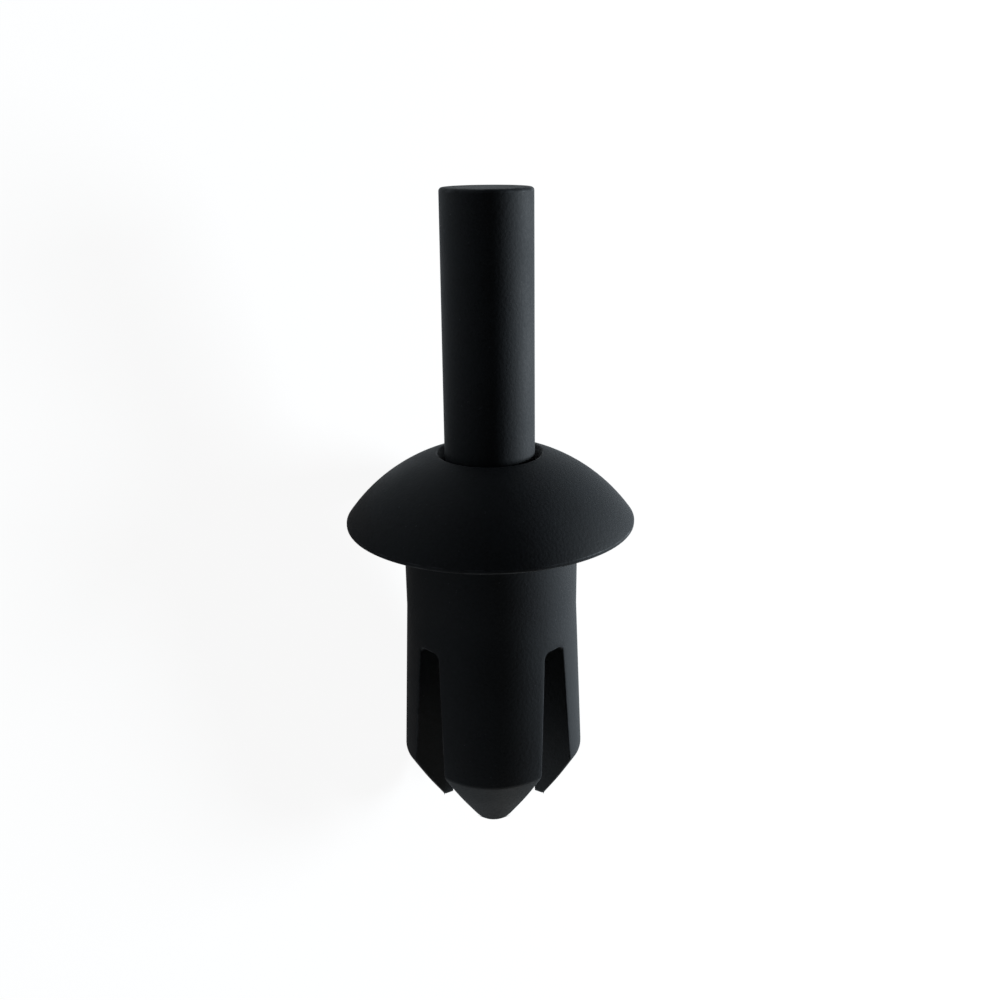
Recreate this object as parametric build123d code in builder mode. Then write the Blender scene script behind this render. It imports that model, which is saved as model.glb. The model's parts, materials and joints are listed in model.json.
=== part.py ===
from build123d import *
from math import asin, atan2, cos, degrees, hypot, radians, sin, sqrt, tan
import os

# Plastic push rivet, also called a drive rivet, moulded in nylon. The body is one piece: a
# domed head on a hollow shank that two crossing slots split into four flared legs. A round
# drive pin stands in the mouth of the bore, ready to be pushed down between the legs.
#
# The rivet lies on its side on the floor z = 0, on the rim of its head and the two legs
# beside the lowest slot, with the pin towards +X. The slots face up, down and sideways.
# All sizes are in millimetres. Heights along the rivet are measured from the flat
# underside of the head, positive towards the pin.

# Head
head_diameter = 10.35
head_height = 2.82
rim_thickness = 0.14  # straight edge of the head, below the dome
rim_rounding = 0.06

# Shank and legs
shank_diameter = 6.3
plain_length = 3.3  # from the head down to where the legs begin to flare
flare_length = 5.9  # from there down to the widest point of the legs
flare_diameter = 6.82  # over the widest point of the legs
nose_length = 2.35  # bevelled end of the legs, below the widest point
nose_land = 0.34  # width of the flat end of each leg, outside the bore
leg_corner = 0.2  # rounding of the two corners at the end of each leg
neck_rounding = 0.12  # inside corner between head and shank

# Slots between the legs
slot_top = 4.2  # from the head down to the closed end of the slots
slot_width = 0.92  # at the closed end
slot_draft = 3.6  # degrees that each slot face leans back, so the slots open downwards
slot_corner = 0.26  # rounding of the closed end

# Drive pin, which has a moulding draft
pin_diameter = 3.22  # at its lower, thicker end
pin_top_diameter = 3.14
pin_length = 10.3
pin_insertion = 1.3  # how much of the pin is in the bore before it is driven
pin_top_rounding = 0.12
pin_lead_in = 0.4  # length of the tapered lower end
pin_lead_in_step = 0.25  # how much the lower end is smaller in radius

# Bore
pin_clearance = 0.04  # between pin and bore, all round
mouth_width = 0.16  # of the countersink round the bore
mouth_depth = 0.3

# Heights and radii that follow from the sizes above
head_radius = head_diameter / 2
shank_radius = shank_diameter / 2
flare_radius = flare_diameter / 2
pin_radius = pin_diameter / 2
pin_top_radius = pin_top_diameter / 2
bore_radius = pin_radius + pin_clearance
mouth_radius = bore_radius + mouth_width
flare_level = -plain_length - flare_length
nose_level = flare_level - nose_length
nose_radius = bore_radius + nose_land
dome_height = head_height - rim_thickness
dome_radius = (head_radius**2 + dome_height**2) / (2 * dome_height)


def dome_level(radius):
    """Height of the spherical top of the head at a distance from the rivet's axis."""
    return head_height - dome_radius + sqrt(dome_radius**2 - radius**2)


def slot_half_width(level):
    """Half the width of a slot at a height along the rivet."""
    return slot_width / 2 + (-slot_top - level) * tan(radians(slot_draft))


mouth_level = dome_level(mouth_radius)
pin_bottom = mouth_level - pin_insertion
pin_top = pin_bottom + pin_length
pin_travel = pin_top - mouth_level  # driven, the pin is level with the mouth of the bore

# How the rivet lies. The floor touches the rounded rim and, at the widest point of the
# legs, the two corners beside the lowest slot, so the axis slopes up towards the pin.
corner_radius = sqrt(flare_radius**2 - slot_half_width(flare_level) ** 2)
rim_run = rim_rounding - flare_level
rim_rise = head_radius - rim_rounding - corner_radius
tilt = atan2(rim_rise, rim_run) + asin(rim_rounding / hypot(rim_run, rim_rise))
axis_height = corner_radius * cos(tilt) - flare_level * sin(tilt)

# The slots widen round the corners of the legs.
leg_corner_level = nose_level + leg_corner
slot_edge = slot_half_width(leg_corner_level)
slot_end_half_width = slot_edge + leg_corner

# The origin is the middle of the rivet's bounding box, on the floor.
nose_reach = sqrt(nose_radius**2 - slot_end_half_width**2)
nose_end = nose_level * cos(tilt) - nose_reach * sin(tilt)
pin_end = (
    (pin_top - pin_top_rounding) * cos(tilt)
    + (pin_top_radius - pin_top_rounding) * sin(tilt)
    + pin_top_rounding
)
head_centre = Vector(-(nose_end + pin_end) / 2, 0, axis_height)
pin_direction = Vector(cos(tilt), 0, sin(tilt))
upward = Vector(-sin(tilt), 0, cos(tilt))
sideways = upward.cross(pin_direction)
rivet_axis = Axis(head_centre, pin_direction)

# In the lengthwise plane x is the distance from the axis and y the height along the rivet.
lengthwise = Plane(origin=head_centre, x_dir=upward, z_dir=sideways)

# Body: head, shank and bore are one revolved section, and the slots are cut out of it.
with BuildPart() as rivet_body:
    with BuildSketch(lengthwise):
        with BuildLine():
            Polyline(
                (mouth_radius, mouth_level),
                (bore_radius, mouth_level - mouth_depth),
                (bore_radius, nose_level),
                (nose_radius, nose_level),
                (flare_radius, flare_level),
                (shank_radius, -plain_length),
                (shank_radius, 0),
                (head_radius, 0),
                (head_radius, rim_thickness),
            )
            ThreePointArc(
                (head_radius, rim_thickness),
                (shank_radius, dome_level(shank_radius)),
                (mouth_radius, mouth_level),
            )
        make_face()
        rim_corners = vertices().group_by(Axis.X)[-1]
        fillet(rim_corners, rim_rounding)
        neck_corner = vertices().sort_by_distance((shank_radius, 0))[0]
        fillet(neck_corner, neck_rounding)
    revolve(axis=rivet_axis)

    slot_end = nose_level - nose_length
    arc_middle = leg_corner * (1 - sin(radians(45)))
    for across in (upward, sideways):
        slot_plane = Plane(origin=head_centre, x_dir=across, z_dir=across.cross(pin_direction))
        with BuildSketch(slot_plane):
            with BuildLine():
                Polyline(
                    (-slot_edge, leg_corner_level),
                    (-slot_half_width(-slot_top), -slot_top),
                    (slot_half_width(-slot_top), -slot_top),
                    (slot_edge, leg_corner_level),
                )
                Polyline(
                    (slot_end_half_width, nose_level),
                    (slot_end_half_width, slot_end),
                    (-slot_end_half_width, slot_end),
                    (-slot_end_half_width, nose_level),
                )
                for side in (-1, 1):
                    ThreePointArc(
                        (side * slot_edge, leg_corner_level),
                        (side * (slot_edge + arc_middle), nose_level + arc_middle),
                        (side * slot_end_half_width, nose_level),
                    )
            make_face()
            closed_end = vertices().group_by(Axis.Y)[-1]
            fillet(closed_end, slot_corner)
        extrude(amount=flare_radius + shank_radius, both=True, mode=Mode.SUBTRACT)

# Drive pin: round, slightly tapered, with a flat rounded top and a lead-in at its lower end.
with BuildPart() as drive_pin:
    with BuildSketch(lengthwise):
        with BuildLine():
            Polyline(
                (0, pin_bottom),
                (pin_radius - pin_lead_in_step, pin_bottom),
                (pin_radius, pin_bottom + pin_lead_in),
                (pin_top_radius, pin_top),
                (0, pin_top),
                close=True,
            )
        make_face()
        top_corner = vertices().sort_by_distance((pin_top_radius, pin_top))[0]
        fillet(top_corner, pin_top_rounding)
    revolve(axis=rivet_axis)

os.makedirs("parts", exist_ok=True)
rivet_body.part.label = "rivet_body"
drive_pin.part.label = "drive_pin"
export_step(rivet_body.part, "parts/rivet_body.step")
export_step(drive_pin.part, "parts/drive_pin.step")

print(f"tilt {degrees(tilt):.3f} deg, axis towards the pin {pin_direction}")
print(f"middle of the head's underside {head_centre}")
print(f"along the rivet: mouth {mouth_level:.4f}, pin {pin_bottom:.4f} to {pin_top:.4f}")
print(f"pin travel {pin_travel:.4f}, nose {nose_level:.4f}")
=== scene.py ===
import json
import math

import bmesh
import bpy
from mathutils import Matrix, Vector


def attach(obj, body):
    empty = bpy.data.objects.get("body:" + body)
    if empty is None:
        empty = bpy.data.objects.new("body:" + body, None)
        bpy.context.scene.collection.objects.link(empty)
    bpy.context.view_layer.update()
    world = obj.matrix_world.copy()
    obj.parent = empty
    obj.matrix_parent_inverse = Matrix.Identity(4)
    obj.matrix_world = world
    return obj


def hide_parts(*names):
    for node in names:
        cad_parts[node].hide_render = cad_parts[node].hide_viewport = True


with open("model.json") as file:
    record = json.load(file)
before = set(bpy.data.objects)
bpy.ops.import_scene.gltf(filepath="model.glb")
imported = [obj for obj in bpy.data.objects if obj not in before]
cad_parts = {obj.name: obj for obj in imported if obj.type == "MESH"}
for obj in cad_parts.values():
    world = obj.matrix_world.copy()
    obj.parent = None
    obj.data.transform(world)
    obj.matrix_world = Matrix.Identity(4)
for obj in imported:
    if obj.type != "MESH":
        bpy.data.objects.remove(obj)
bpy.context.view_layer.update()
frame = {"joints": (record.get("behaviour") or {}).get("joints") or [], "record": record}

# Plastic push rivet: a moulded nylon body with a domed head and four split legs, and the
# round drive pin that stands in the mouth of its bore. Sizes are in millimetres. Heights
# along the rivet are measured from the flat underside of the head, positive towards the pin.
MM = 0.001  # one millimetre in the frame's metres
touching = 1e-5  # vertices closer than this are one, and a height is met this closely

# Head
head_radius = 5.175
head_height = 2.82
rim_thickness = 0.14
rim_rounding = 0.06

# Shank and legs
shank_radius = 3.15
plain_length = 3.3
flare_level = -9.2  # widest point of the legs
flare_radius = 3.41
flare_rounding = 0.25
nose_level = -11.55  # ends of the legs
nose_radius = 1.99
leg_corner = 0.2  # rounding of the two corners at the end of each leg
leg_round_start = -7.6  # below here each leg is rounded across, like a tongue
flare_crown = 0.043  # rise beside the leg's middle, per square mm aside, at the widest point
nose_crown = 0.4  # the same at the end of the leg
neck_rounding = 0.12

# Slots between the legs
slot_top = 4.2
slot_width = 0.92
slot_draft = math.radians(3.6)  # lean of each slot face, which opens the slot downwards
slot_corner = 0.26
edge_rounding = 0.06  # along the slots and round the ends of the legs

# Bore and drive pin
bore_radius = 1.65
mouth_radius = 1.88
mouth_depth = 0.36
mouth_rounding = 0.06
mouth_corner = 0.06  # rounding where the mouth narrows to the bore
wall_middle = (bore_radius + shank_radius) / 2  # parts the bore's side from the outside
bore_band = 0.1  # an edge this near to the bore belongs to it
pin_radius = 1.61  # at its lower end
pin_top_radius = 1.57
pin_length = 10.3
pin_insertion = 1.3
pin_top_rounding = 0.12
pin_lead_in = 0.4
pin_lead_in_step = 0.25
pin_lead_in_rounding = 0.3
pin_bottom_rounding = 0.06

# Surface of the nylon
mould_grain_size = 0.11  # a real grain of 0.03 to 0.05, drawn as coarse as it needs to show
mould_grain_depth = 0.012
flow_cloud_size = 1.6
speck_spacing = 0.14
rub_and_highlight_length = 0.7

dome_height = head_height - rim_thickness
dome_radius = (head_radius**2 + dome_height**2) / (2 * dome_height)
dome_centre = head_height - dome_radius
mouth_level = dome_centre + math.sqrt(dome_radius**2 - mouth_radius**2)
pin_bottom = mouth_level - pin_insertion
pin_top = pin_bottom + pin_length
leg_corner_level = nose_level + leg_corner

# A face that rounds an edge is narrower than this, and bent more than this to the next one.
# Such faces are drawn lighter: partly real rubbed wear, partly a painted highlight.
highlight_and_wear_width = 0.045
highlight_and_wear_bend = math.radians(8)

# Faces of the body that meet at more than this bend meet at an edge.
crease_bend = math.radians(35)

# ---------------------------------------------------------------- how the rivet lies
mounts = {mount["name"]: mount for mount in frame["record"]["mounts"]}
drive = frame["joints"][0]
head_centre = Vector(mounts["shank"]["pos_m"])  # middle of the head's underside
pin_way = -Vector(drive["axis"]).normalized()  # along the rivet, towards the pin
upper_way = Vector((-pin_way.z, 0.0, pin_way.x))  # across the rivet, in its upright plane
side_way = pin_way.cross(upper_way)

# The rivet's own frame has its z axis along the rivet and its slots along x and y.
rivet_turn = Matrix((upper_way, side_way, pin_way)).transposed()
rivet_place = Matrix.Translation(head_centre) @ rivet_turn.to_4x4()


# ---------------------------------------------------------------- colours and materials
def hex_colour(text):
    """An sRGB hex colour as the linear values that a shader socket takes."""
    channels = [int(text[i : i + 2], 16) / 255 for i in (1, 3, 5)]
    linear = [c / 12.92 if c <= 0.04045 else ((c + 0.055) / 1.055) ** 2.4 for c in channels]
    return (*linear, 1.0)


def add_node(tree, kind, inputs=None, **settings):
    """Adds a node. Each input is a value, or the output socket that it is linked to."""
    node = tree.nodes.new(kind)
    for name, value in settings.items():
        setattr(node, name, value)
    for name, value in (inputs or {}).items():
        if isinstance(value, bpy.types.NodeSocket):
            tree.links.new(value, node.inputs[name])
        else:
            node.inputs[name].default_value = value
    return node


def new_material(name):
    """A material with an empty node tree."""
    material = bpy.data.materials.new(name)
    material.use_nodes = True
    material.node_tree.nodes.clear()
    return material, material.node_tree


def black_nylon():
    """Black polyamide 66, injection moulded in a spark-eroded steel mould.

    To the eye it is a near-black satin with a broad, soft sheen. The mould leaves a fine
    grain, the melt leaves slightly glossier and duller clouds where it cooled, and rubbing
    against other rivets polishes the edges and leaves a few pale specks. The rounded edges
    are drawn lighter, partly as real rubbed wear and partly as a painted highlight.
    """
    material, tree = new_material("black_nylon_moulded")
    place = add_node(tree, "ShaderNodeTexCoord").outputs["Object"]

    # Each pattern: the size of its lumps, its detail, and the noise values that become 0 and 1.
    patterns = {}
    for name, size, detail, low, high in (
        ("clouds", flow_cloud_size, 3.0, 0.3, 0.7),
        ("grain", mould_grain_size, 2.0, 0.3, 0.7),
        ("specks", speck_spacing, 2.0, 0.71, 0.78),
        ("rubs_and_highlight", rub_and_highlight_length, 3.0, 0.42, 0.6),
    ):
        lumps = add_node(
            tree,
            "ShaderNodeTexNoise",
            {"Vector": place, "Scale": 1.0 / (size * MM), "Detail": detail},
        ).outputs["Fac"]
        patterns[name] = add_node(
            tree, "ShaderNodeMapRange", {0: lumps, 1: low, 2: high, 3: 0.0, 4: 1.0}
        ).outputs[0]
    # mask of the rounded edges: partly real rubbed wear, partly a painted highlight along them
    wear_and_highlight = add_node(tree, "ShaderNodeAttribute", attribute_name="edge_wear_and_highlight").outputs["Fac"]
    worn_and_highlit = add_node(
        tree, "ShaderNodeMath", {0: wear_and_highlight, 1: patterns["rubs_and_highlight"]}, operation="MULTIPLY"
    ).outputs[0]

    # Each layer of colour: where it lies, how much of it, and its colour.
    tone = hex_colour("#17181a")
    for where, amount, colour in (
        (patterns["clouds"], 1.0, "#1d1f21"),
        (patterns["grain"], 0.35, "#25272a"),
        (patterns["specks"], 0.5, "#3c3e42"),
        # lighter rounded edges: partly real rubbed wear, partly a painted highlight
        (worn_and_highlit, 0.4, "#3a3c40"),
    ):
        share = add_node(tree, "ShaderNodeMath", {0: where, 1: amount}, operation="MULTIPLY")
        tone = add_node(
            tree,
            "ShaderNodeMix",
            {0: share.outputs[0], 6: tone, 7: hex_colour(colour)},
            data_type="RGBA",
        ).outputs[2]

    # Each change of roughness: where it lies, and how much it adds.
    roughness = 0.6
    for where, amount in ((patterns["clouds"], 0.08), (patterns["grain"], 0.06), (worn_and_highlit, -0.14)):
        roughness = add_node(
            tree,
            "ShaderNodeMath",
            {0: where, 1: amount, 2: roughness},
            operation="MULTIPLY_ADD",
        ).outputs[0]

    skin = add_node(
        tree,
        "ShaderNodeBump",
        {"Height": patterns["grain"], "Strength": 0.3, "Distance": mould_grain_depth * MM},
    )
    shader = add_node(
        tree,
        "ShaderNodeBsdfPrincipled",
        {
            "Base Color": tone,
            "Roughness": roughness,
            "IOR": 1.53,
            "Specular IOR Level": 0.08,  # a weak sheen, so that the shaded side stays black
            "Normal": skin.outputs[0],
        },
    )
    add_node(tree, "ShaderNodeOutputMaterial", {"Surface": shader.outputs[0]})
    return material


def pale_share(tree, straight, mirrored):
    """How much plain white is seen straight from the camera, and in gloss or through glass."""
    path = add_node(tree, "ShaderNodeLightPath")
    indirect = add_node(
        tree,
        "ShaderNodeMath",
        {0: path.outputs["Is Glossy Ray"], 1: path.outputs["Is Transmission Ray"]},
        operation="MAXIMUM",
    )
    indirect = add_node(
        tree, "ShaderNodeMath", {0: indirect.outputs[0], 1: mirrored}, operation="MULTIPLY"
    )
    return add_node(
        tree,
        "ShaderNodeMath",
        {0: path.outputs["Is Camera Ray"], 1: straight, 2: indirect.outputs[0]},
        operation="MULTIPLY_ADD",
    ).outputs[0]


# How much plain white floor and world show straight to the camera, and in gloss or glass.
floor_white_straight = 0.93
floor_white_mirrored = 0.3
world_white_straight = 0.97
world_white_mirrored = 0.08
world_fill = 0.02  # strength of the world's even white light on matt surfaces


def pale_floor():
    """A matt pale floor that the camera sees almost as plain white, with a faint shadow."""
    material, tree = new_material("pale_floor")
    matt = add_node(tree, "ShaderNodeBsdfDiffuse", {"Color": hex_colour("#f2f2f2")})
    white = add_node(tree, "ShaderNodeEmission", {"Color": hex_colour("#ffffff"), "Strength": 1.0})
    share = pale_share(tree, floor_white_straight, floor_white_mirrored)
    mixed = add_node(tree, "ShaderNodeMixShader", {0: share, 1: matt.outputs[0]})
    tree.links.new(white.outputs[0], mixed.inputs[2])
    add_node(tree, "ShaderNodeOutputMaterial", {"Surface": mixed.outputs[0]})
    return material


nylon = black_nylon()


# ---------------------------------------------------------------- mesh helpers
def add_wire(mesh, points, start=None):
    """Adds edges through (distance from the axis, height) points, from a vertex if given."""
    corners = [start] if start else []
    corners += [mesh.verts.new((radius, 0.0, height)) for radius, height in points]
    for one, other in zip(corners, corners[1:]):
        mesh.edges.new((one, other))
    return corners


def round_corner(mesh, place, radius, steps):
    """Rounds the corner of a wire nearest to a (distance from the axis, height) place."""
    spot = Vector((place[0], 0.0, place[1]))
    corner = min(mesh.verts, key=lambda vert: (vert.co - spot).length)
    ways = [(edge.other_vert(corner).co - corner.co).normalized() for edge in corner.link_edges]
    reach = radius / math.tan(ways[0].angle(ways[1]) / 2)
    bmesh.ops.bevel(
        mesh,
        geom=[corner],
        affect="VERTICES",
        offset=reach,
        offset_type="OFFSET",
        segments=steps,
        profile=0.5,
        material=-1,
        clamp_overlap=False,
    )


def between(start, end, parts):
    """The points that divide the way from start to end into equal parts, ends left out."""
    return [
        tuple(a + (b - a) * part / parts for a, b in zip(start, end)) for part in range(1, parts)
    ]


def mark_worn_and_highlit_edges(mesh):
    """Marks the narrow faces that round a convex edge, where handling polishes the nylon and a
    painted highlight lightens it.
    """
    wear_and_highlight = mesh.loops.layers.float.new("edge_wear_and_highlight")
    for face in mesh.faces:
        bent = any(
            edge.is_convex and edge.calc_face_angle(0.0) > highlight_and_wear_bend for edge in face.edges
        )
        narrow = face.calc_area() < highlight_and_wear_width * max(edge.calc_length() for edge in face.edges)
        for loop in face.loops:
            loop[wear_and_highlight] = 1.0 if bent and narrow else 0.0


def finish_piece(name, mesh, body, node, material):
    """Places a piece that was made in the rivet's own frame, and hands it to its body."""
    mark_worn_and_highlit_edges(mesh)
    bmesh.ops.transform(mesh, matrix=rivet_place @ Matrix.Scale(MM, 4), verts=mesh.verts)
    for face in mesh.faces:
        face.smooth = True
    data = bpy.data.meshes.new(name)
    mesh.to_mesh(data)
    mesh.free()
    piece = bpy.data.objects.new(name, data)
    bpy.context.scene.collection.objects.link(piece)
    data.materials.append(material)
    shading = piece.modifiers.new("even_shading", "WEIGHTED_NORMAL")
    shading.keep_sharp = True
    shading.weight = 50  # neutral, so that faces count by their area
    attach(piece, body)
    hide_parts(node)


# ---------------------------------------------------------------- body
# One eighth of the body runs from the middle of a slot to the middle of a leg. Its
# section is spun in even columns, which are then moved to follow the rounded slot.
leg_turn = math.radians(45)
columns = 14
corner_column = 4  # reaches the slot half way round its rounded corner
corner_steps = corner_column - 1  # from the slot's flat end to there
lower_corner_steps = 4  # and on to the slot's side
first_gap = 0.08  # room for the edge rounding beside the slot
first_gap_share = 0.4  # but at most this share of the way to the leg's middle
blend_length = 1.8  # above the slot, where the columns become even again
dome_steps = 18
neck_ring = -1.2  # the first row of faces below the head ends here
upper_rings = [-2.2, -2.9, -3.5, -3.98]  # the rows of faces narrow towards the slots
leg_rings = 4  # rows from the slot's corner to the widest point
nose_rings = 8
leg_corner_rings = 6

corner_reach = slot_corner * math.tan((math.pi / 2 - slot_draft) / 2)
corner_middle = slot_width / 2 - corner_reach  # half the flat closed end of the slot
corner_level = -slot_top - slot_corner
corner_middle_turn = math.radians(45)
corner_end_turn = math.pi / 2 - slot_draft
arch_turns = [corner_middle_turn * step / corner_steps for step in range(corner_steps + 1)]
side_turns = [
    corner_middle_turn + (corner_end_turn - corner_middle_turn) * step / lower_corner_steps
    for step in range(lower_corner_steps + 1)
]
arch = [(0.0, -slot_top)] + [
    (corner_middle + slot_corner * math.sin(turn), corner_level + slot_corner * math.cos(turn))
    for turn in arch_turns
]
side_levels = [corner_level + slot_corner * math.cos(turn) for turn in side_turns]
root_level = side_levels[0]
side_start = side_levels[-1]


def outer_radius(level):
    """Radius of the shank and the legs, down to the widest point."""
    if level >= -plain_length:
        return shank_radius
    share = (level + plain_length) / (flare_level + plain_length)
    return shank_radius + (flare_radius - shank_radius) * share


def nose_cone(level):
    """Radius of the bevelled end of the legs."""
    share = (level - flare_level) / (nose_level - flare_level)
    return flare_radius + (nose_radius - flare_radius) * share


def slot_half_width(level):
    """Half the width of the slot, which opens round the corners at the end of the legs."""
    if level > side_start:
        return corner_middle + math.sqrt(slot_corner**2 - (level - corner_level) ** 2)
    straight = slot_width / 2 + (-slot_top - level) * math.tan(slot_draft)
    drop = max(0.0, min(leg_corner_level - level, leg_corner))
    return straight + leg_corner - math.sqrt(leg_corner**2 - drop**2)


def turn_beside_slot(column, radius, level):
    """How far a column is turned from the middle of the slot, at the slot's own heights."""
    if column <= corner_column and level >= root_level:
        return math.asin(arch[column][0] / radius)
    edge = math.asin(slot_half_width(level) / radius)
    rest = columns - corner_column
    even = (leg_turn - edge) / rest
    first = min(max(even, first_gap / radius), first_gap_share * (leg_turn - edge))
    if column == corner_column:
        return edge
    return edge + first + (leg_turn - edge - first) * (column - corner_column - 1) / (rest - 1)


def column_turn(column, radius, level):
    """How far a column is turned at any height. Above the slots the columns become even."""
    if level <= root_level:
        return turn_beside_slot(column, radius, level)
    share = eased((level - root_level) / blend_length)
    near = turn_beside_slot(column, radius, root_level)
    return near + (leg_turn * column / columns - near) * share


def eased(share):
    """A share from 0 to 1 with a soft start and end."""
    share = max(0.0, min(1.0, share))
    return share * share * (3 - 2 * share)


def leg_lift(radius, turn, level):
    """How far a place on a leg is raised, so that the leg ends in a rounded tongue."""
    aside = radius * math.sin(leg_turn - turn)
    to_nose = max(0.0, (flare_level - level) / (flare_level - nose_level))
    crown = flare_crown + (nose_crown - flare_crown) * to_nose**4
    start = eased((level - leg_round_start) / (flare_level - leg_round_start))
    return crown * aside**2 * start


def body_section():
    """The closed section of the body: dome, bore, nose, leg, shank and underside."""
    section = bmesh.new()
    rim_top = section.verts.new((head_radius, 0.0, rim_thickness))
    start_turn = math.atan2(rim_thickness - dome_centre, head_radius)
    end_turn = math.atan2(mouth_level - dome_centre, mouth_radius)
    arc = bmesh.ops.spin(
        section,
        geom=[rim_top],
        cent=(0.0, 0.0, dome_centre),
        axis=(0.0, -1.0, 0.0),
        angle=end_turn - start_turn,
        steps=dome_steps,
    )
    mouth = [item for item in arc["geom_last"] if isinstance(item, bmesh.types.BMVert)][0]
    legs_middle = [level for (level,) in between((side_start,), (flare_level,), leg_rings)]
    nose_levels = [
        level for (level,) in between((flare_level,), (leg_corner_level,), nose_rings)
    ]
    nose_levels += [
        leg_corner_level - leg_corner * math.sin(math.pi / 2 * step / leg_corner_rings)
        for step in range(leg_corner_rings + 1)
    ]
    bore_levels = [mouth_level - mouth_depth, 0.0, neck_ring] + upper_rings + side_levels
    bore_levels += legs_middle + [flare_level] + nose_levels
    outer_levels = sorted(upper_rings + [-plain_length] + side_levels + legs_middle)
    points = [(bore_radius, level) for level in bore_levels]
    points += [(nose_cone(level), level) for level in nose_levels[::-1] + [flare_level]]
    points += [(outer_radius(level), level) for level in outer_levels]
    points += [(shank_radius, neck_ring), (shank_radius, 0.0), (head_radius, 0.0)]
    corners = add_wire(section, points, mouth)
    section.edges.new((corners[-1], rim_top))
    round_corner(section, (mouth_radius, mouth_level), mouth_rounding, steps=3)
    round_corner(section, (bore_radius, mouth_level - mouth_depth), mouth_corner, steps=2)
    round_corner(section, (flare_radius, flare_level), flare_rounding, steps=5)
    round_corner(section, (shank_radius, 0.0), neck_rounding, steps=4)
    round_corner(section, (head_radius, 0.0), rim_rounding, steps=4)
    round_corner(section, (head_radius, rim_thickness), rim_rounding, steps=3)
    return section


def body_eighth():
    """From the middle of a slot to the middle of a leg, with the slot's wall closed."""
    mesh = body_section()
    bmesh.ops.spin(
        mesh,
        geom=mesh.verts[:] + mesh.edges[:],
        cent=(0.0, 0.0, 0.0),
        axis=(0.0, 0.0, 1.0),
        angle=leg_turn,
        steps=columns,
    )
    bmesh.ops.remove_doubles(mesh, verts=mesh.verts, dist=touching)

    column_of = {}
    level_of = {}
    for vert in mesh.verts:
        level_of[vert] = vert.co.z
        column_of[vert] = round(math.atan2(vert.co.y, vert.co.x) / leg_turn * columns)
    in_slot = [
        face
        for face in mesh.faces
        if max(column_of[vert] for vert in face.verts) <= corner_column
        and max(vert.co.z for vert in face.verts) < root_level + touching
    ]
    bmesh.ops.delete(mesh, geom=in_slot, context="FACES")

    for vert in mesh.verts:
        column = column_of[vert]
        radius = math.hypot(vert.co.x, vert.co.y)
        level = vert.co.z
        turn = column_turn(column, radius, level)
        if abs(level - root_level) < touching and column < corner_column:
            level = arch[column][1]
            if radius > wall_middle:
                radius = outer_radius(level)
        if level < root_level - touching:
            level += leg_lift(radius, turn, level)
        vert.co = (radius * math.cos(turn), radius * math.sin(turn), level)

    def beside(edge):
        """Whether an open edge lies along the slot, and not where two eighths meet."""
        ends = [vert.co for vert in edge.verts]
        at_slot_middle = all(abs(end.y) < touching for end in ends)
        at_leg_middle = all(abs(end.x - end.y) < touching for end in ends)
        return edge.is_boundary and not at_slot_middle and not at_leg_middle

    outline = [edge for edge in mesh.edges if beside(edge)]
    closed_end = [
        edge for edge in outline if min(vert.co.z for vert in edge.verts) > side_start - touching
    ]
    bmesh.ops.bridge_loops(mesh, edges=closed_end)
    leg_end = [
        edge
        for edge in outline
        if max(level_of[vert] for vert in edge.verts) < leg_corner_level + touching
        and max(level_of[vert] for vert in edge.verts) > nose_level + touching
    ]
    bmesh.ops.bridge_loops(mesh, edges=leg_end)
    wall = [
        edge
        for edge in mesh.edges
        if beside(edge) and max(vert.co.z for vert in edge.verts) < side_start + touching
    ]
    bmesh.ops.edgeloop_fill(mesh, edges=wall)
    return mesh


def moulded_body():
    """Mirrors the eighth over its slot, sets four of these round the axis, rounds the edges.

    The edges of the bore stay sharp.
    """
    mesh = body_eighth()
    bmesh.ops.mirror(
        mesh,
        geom=mesh.verts[:] + mesh.edges[:] + mesh.faces[:],
        matrix=Matrix(),
        merge_dist=touching,
        axis="Y",
    )
    bmesh.ops.spin(
        mesh,
        geom=mesh.verts[:] + mesh.edges[:] + mesh.faces[:],
        cent=(0.0, 0.0, 0.0),
        axis=(0.0, 0.0, 1.0),
        angle=math.radians(270),
        steps=3,
        use_duplicate=True,
    )
    bmesh.ops.remove_doubles(mesh, verts=mesh.verts, dist=touching)
    bmesh.ops.recalc_face_normals(mesh, faces=mesh.faces)
    rounded = []
    for edge in mesh.edges:
        if edge.calc_face_angle() <= crease_bend:
            continue
        if all(math.hypot(vert.co.x, vert.co.y) < bore_radius + bore_band for vert in edge.verts):
            edge.smooth = False
        else:
            rounded.append(edge)
    bmesh.ops.bevel(
        mesh,
        geom=rounded,
        affect="EDGES",
        offset=edge_rounding,
        offset_type="OFFSET",
        segments=3,
        profile=0.5,
        material=-1,
        clamp_overlap=False,
    )
    finish_piece("moulded_body", mesh, "rivet", "rivet_body", nylon)


# ---------------------------------------------------------------- drive pin
top_rings = (0.0, 0.6, 1.2)  # radii of the rows of faces on the flat top
bottom_rings = (0.7, 0.0)
side_rings = 8
pin_sides = 96


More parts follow.
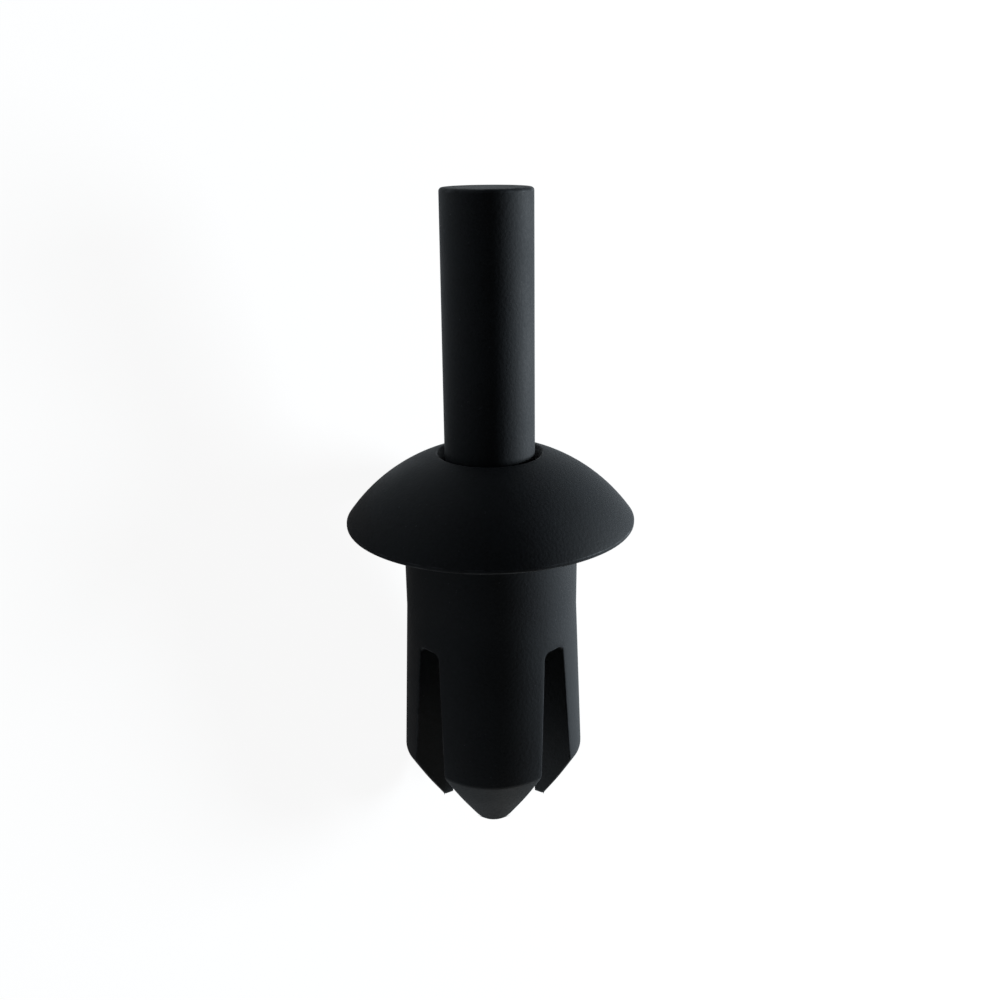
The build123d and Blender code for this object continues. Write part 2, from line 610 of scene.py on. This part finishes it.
def moulded_pin():
    """A round pin, slightly thicker at its lower end, with a lead-in there."""
    mesh = bmesh.new()
    top_corner = (pin_top_radius, pin_top)
    lead_in_corner = (pin_radius, pin_bottom + pin_lead_in)
    bottom_corner = (pin_radius - pin_lead_in_step, pin_bottom)
    points = [(radius, pin_top) for radius in top_rings]
    points += [top_corner] + between(top_corner, lead_in_corner, side_rings)
    points += [lead_in_corner, bottom_corner]
    points += [(radius, pin_bottom) for radius in bottom_rings]
    add_wire(mesh, points)
    round_corner(mesh, top_corner, pin_top_rounding, steps=5)
    round_corner(mesh, lead_in_corner, pin_lead_in_rounding, steps=3)
    round_corner(mesh, bottom_corner, pin_bottom_rounding, steps=3)
    bmesh.ops.spin(
        mesh,
        geom=mesh.verts[:] + mesh.edges[:],
        cent=(0.0, 0.0, 0.0),
        axis=(0.0, 0.0, 1.0),
        angle=math.tau,
        steps=pin_sides,
        use_merge=True,
    )
    bmesh.ops.remove_doubles(mesh, verts=mesh.verts, dist=touching)
    bmesh.ops.recalc_face_normals(mesh, faces=mesh.faces)
    finish_piece("moulded_pin", mesh, "pin", "drive_pin", nylon)


moulded_body()
moulded_pin()

# ---------------------------------------------------------------- floor
floor_reach = 0.6  # metres from the middle to each side

grid = bmesh.new()
bmesh.ops.create_grid(grid, x_segments=1, y_segments=1, size=floor_reach)
floor_mesh = bpy.data.meshes.new("floor")
grid.to_mesh(floor_mesh)
grid.free()
floor = bpy.data.objects.new("floor", floor_mesh)
floor_mesh.materials.append(pale_floor())
bpy.context.scene.collection.objects.link(floor)

# ---------------------------------------------------------------- camera
facing = (upper_way - side_way).normalized()  # across the rivet, towards the camera
right_way = pin_way.cross(facing)
elevation = math.radians(19.409)  # of the camera, above the plane across the rivet
roll = math.radians(0.554)
aim_offset = Vector((-0.342, -0.655, -37.669)) * MM  # the head's middle, seen from the camera

camera_back = facing * math.cos(elevation) + pin_way * math.sin(elevation)
level_up = pin_way * math.cos(elevation) - facing * math.sin(elevation)
camera_right = right_way * math.cos(roll) - level_up * math.sin(roll)
camera_up = right_way * math.sin(roll) + level_up * math.cos(roll)
camera_turn = Matrix((camera_right, camera_up, camera_back)).transposed()
camera_data = bpy.data.cameras.new("camera")
camera_data.lens = 37.331
camera_data.sensor_width = 36.0
camera_data.clip_start = 0.002
camera_data.clip_end = 5.0
camera = bpy.data.objects.new("camera", camera_data)
camera.matrix_world = (
    Matrix.Translation(head_centre - camera_turn @ aim_offset) @ camera_turn.to_4x4()
)
bpy.context.scene.collection.objects.link(camera)
bpy.context.scene.camera = camera


# ---------------------------------------------------------------- light
lamp_distance = 0.25  # metres from the head


def area_lamp(name, way, size, watts, tint):
    """A round lamp that faces the head, from the way given. Its size is in metres."""
    data = bpy.data.lights.new(name, "AREA")
    data.shape = "DISK"
    data.size = size
    data.energy = watts
    data.color = tint
    lamp = bpy.data.objects.new(name, data)
    lamp.matrix_world = (
        Matrix.Translation(head_centre + way.normalized() * lamp_distance)
        @ way.to_track_quat("Z", "Y").to_matrix().to_4x4()
    )
    bpy.context.scene.collection.objects.link(lamp)


key_turn = math.radians(102)  # from the camera's side round to the right, a little behind
key_way = facing * math.cos(key_turn) + right_way * math.sin(key_turn)
nose_way = Vector((-1.0, -0.1, 0.1))  # past the ends of the legs
area_lamp("key_lamp", key_way, size=0.1, watts=1.5, tint=(0.83, 0.93, 1.0))
area_lamp("nose_lamp", nose_way, size=0.08, watts=0.11, tint=(1.0, 0.98, 0.9))

world = bpy.data.worlds.new("studio")
bpy.context.scene.world = world
world.use_nodes = True
background = world.node_tree.nodes["Background"]
background.inputs["Color"].default_value = hex_colour("#ffffff")
seen_white = pale_share(world.node_tree, world_white_straight, world_white_mirrored)
strength = add_node(
    world.node_tree, "ShaderNodeMath", {0: seen_white, 1: world_fill}, operation="ADD"
)
world.node_tree.links.new(strength.outputs[0], background.inputs["Strength"])

bpy.context.scene.view_settings.view_transform = "Standard"
